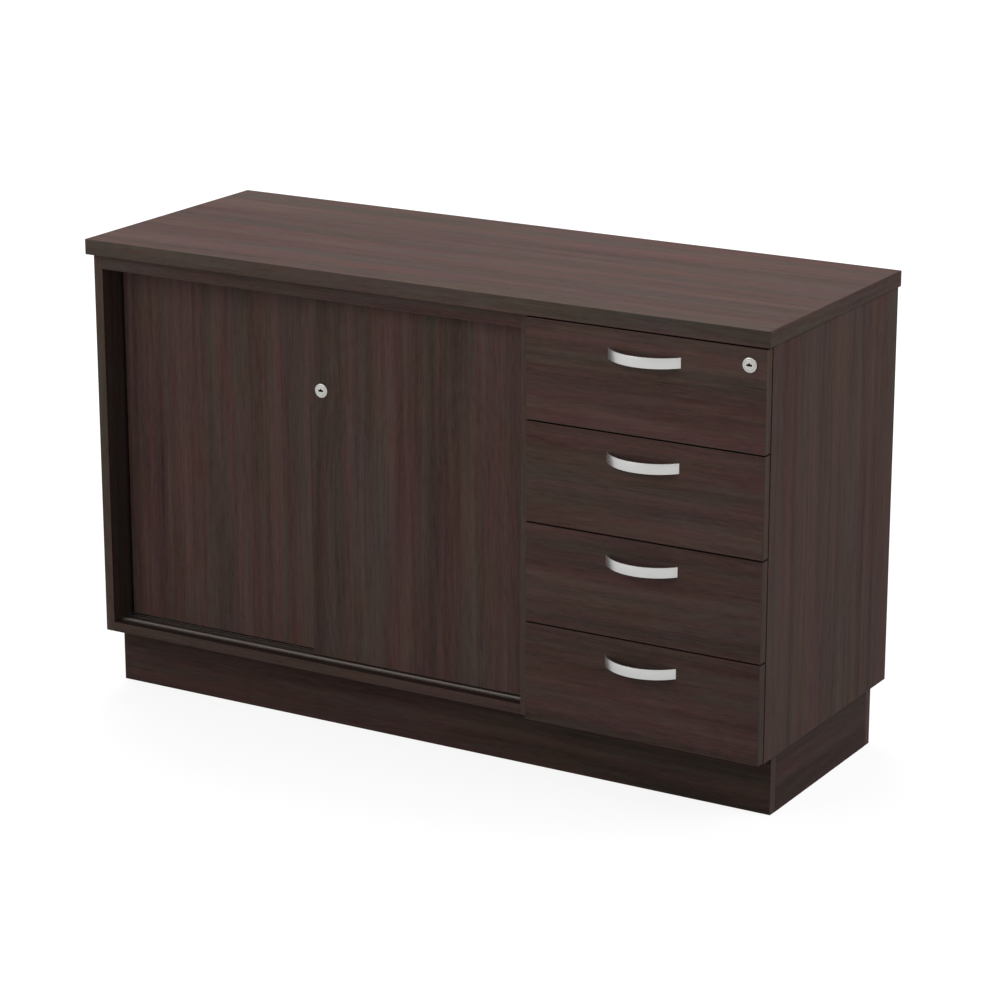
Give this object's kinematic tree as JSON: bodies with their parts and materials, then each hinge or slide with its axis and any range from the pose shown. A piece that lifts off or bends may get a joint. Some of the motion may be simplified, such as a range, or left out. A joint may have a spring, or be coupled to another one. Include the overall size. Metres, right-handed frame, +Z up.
{
  "type": "office credenza",
  "caption": "Low office cabinet with sliding doors beside a stack of drawers with arched handles, under a shared worktop on a recessed plinth, with keyed locks on a door and the top drawer.",
  "frame": {"origin": "on the floor, under the middle of the whole object's outline with its handles", "axes": "+X to the right along the front and the worktop's length, +Y from the doors and drawer fronts to the back, +Z up"},
  "size_m": [1.2, 0.477, 0.75],
  "materials": {
    "walnut_board": "dark walnut melamine-faced board with a matching edge, low sheen",
    "back_board": "dark faced back panel, matt",
    "drawer_board": "dark foil-faced drawer board, low sheen",
    "hardboard": "thin hardboard, smooth brown upper face",
    "handle_metal": "satin silver, brushed along its length",
    "lock_nickel": "satin nickel plate",
    "track_aluminium": "extruded aluminium, satin",
    "runner_steel": "zinc-grey coated steel",
    "steel": "bright zinc-plated steel",
    "zinc": "die-cast zinc",
    "black_plastic": "dark moulded plastic"
  },
  "bodies": {
    "carcass": {"worktop": "walnut_board", "worktop_screws": "steel", "cabinet_left_side": "walnut_board", "cabinet_right_side": "walnut_board", "cabinet_bottom": "walnut_board", "cabinet_top": "walnut_board", "cabinet_front_rail": "walnut_board", "cabinet_back": "back_board", "shelf": "walnut_board", "shelf_pins": "steel", "bottom_track": "track_aluminium", "top_track": "black_plastic", "pedestal_left_side": "walnut_board", "pedestal_right_side": "walnut_board", "pedestal_bottom": "walnut_board", "pedestal_top_rails": "walnut_board", "pedestal_back": "back_board", "module_bolts": "steel", "carcass_cams": "zinc", "carcass_cam_bolts": "steel", "plinth_front": "walnut_board", "plinth_back": "walnut_board", "plinth_cross_rails": "walnut_board", "drawer_runners": "runner_steel"},
    "left_door": {"left_door": "walnut_board", "left_door_guides": "black_plastic"},
    "right_door": {"right_door": "walnut_board", "right_door_guides": "black_plastic", "door_lock_housing": "lock_nickel", "door_lock_nut": "lock_nickel"},
    "door_lock_plug": {"door_lock_plug": "lock_nickel"},
    "door_lock_bolt": {"door_lock_bolt": "lock_nickel"},
    "drawer_1": {"drawer_1_front": "walnut_board", "drawer_1_box": "drawer_board", "drawer_1_base": "hardboard", "drawer_1_handle": "handle_metal", "drawer_1_handle_screws": "steel", "drawer_1_slides": "runner_steel", "drawer_lock_housing": "lock_nickel", "drawer_lock_nut": "lock_nickel"},
    "drawer_lock_plug": {"drawer_lock_plug": "lock_nickel"},
    "drawer_lock_bar": {"drawer_lock_bar": "steel"},
    "drawer_2": {"drawer_2_front": "walnut_board", "drawer_2_box": "drawer_board", "drawer_2_base": "hardboard", "drawer_2_handle": "handle_metal", "drawer_2_handle_screws": "steel", "drawer_2_slides": "runner_steel"},
    "drawer_3": {"drawer_3_front": "walnut_board", "drawer_3_box": "drawer_board", "drawer_3_base": "hardboard", "drawer_3_handle": "handle_metal", "drawer_3_handle_screws": "steel", "drawer_3_slides": "runner_steel"},
    "drawer_4": {"drawer_4_front": "walnut_board", "drawer_4_box": "drawer_board", "drawer_4_base": "hardboard", "drawer_4_handle": "handle_metal", "drawer_4_handle_screws": "steel", "drawer_4_slides": "runner_steel"}
  },
  "joints": [
    {"name": "left_door_slide", "type": "slide", "parent": "carcass", "child": "left_door", "axis": [1, 0, 0], "range_m": [0, 0.367]},
    {"name": "right_door_slide", "type": "slide", "parent": "carcass", "child": "right_door", "axis": [-1, 0, 0], "range_m": [0, 0.367]},
    {"name": "drawer_1_slide", "type": "slide", "parent": "carcass", "child": "drawer_1", "axis": [0, -1, 0], "range_m": [0, 0.31]},
    {"name": "drawer_2_slide", "type": "slide", "parent": "carcass", "child": "drawer_2", "axis": [0, -1, 0], "range_m": [0, 0.31]},
    {"name": "drawer_3_slide", "type": "slide", "parent": "carcass", "child": "drawer_3", "axis": [0, -1, 0], "range_m": [0, 0.31]},
    {"name": "drawer_4_slide", "type": "slide", "parent": "carcass", "child": "drawer_4", "axis": [0, -1, 0], "range_m": [0, 0.31]},
    {"name": "drawer_lock_turn", "type": "hinge", "parent": "drawer_1", "child": "drawer_lock_plug", "pos_m": [0.5688, -0.2129, 0.6976], "axis": [0, -1, 0], "range_deg": [0, 90]},
    {"name": "drawer_lock_bar_lift", "type": "slide", "parent": "carcass", "child": "drawer_lock_bar", "axis": [0, 0, 1], "range_m": [0, 0.0099]},
    {"name": "door_lock_turn", "type": "hinge", "parent": "right_door", "child": "door_lock_plug", "pos_m": [-0.1845, -0.1719, 0.5493], "axis": [0, 1, 0], "range_deg": [0, 90]},
    {"name": "door_lock_bolt_slide", "type": "slide", "parent": "right_door", "child": "door_lock_bolt", "axis": [0, 1, 0], "range_m": [0, 0.01]}
  ],
  "couplings": [
    {"joint": "drawer_lock_turn", "follows": "drawer_lock_bar_lift", "rad_per_m": 158.66},
    {"joint": "door_lock_turn", "follows": "door_lock_bolt_slide", "rad_per_m": 157.07}
  ]
}
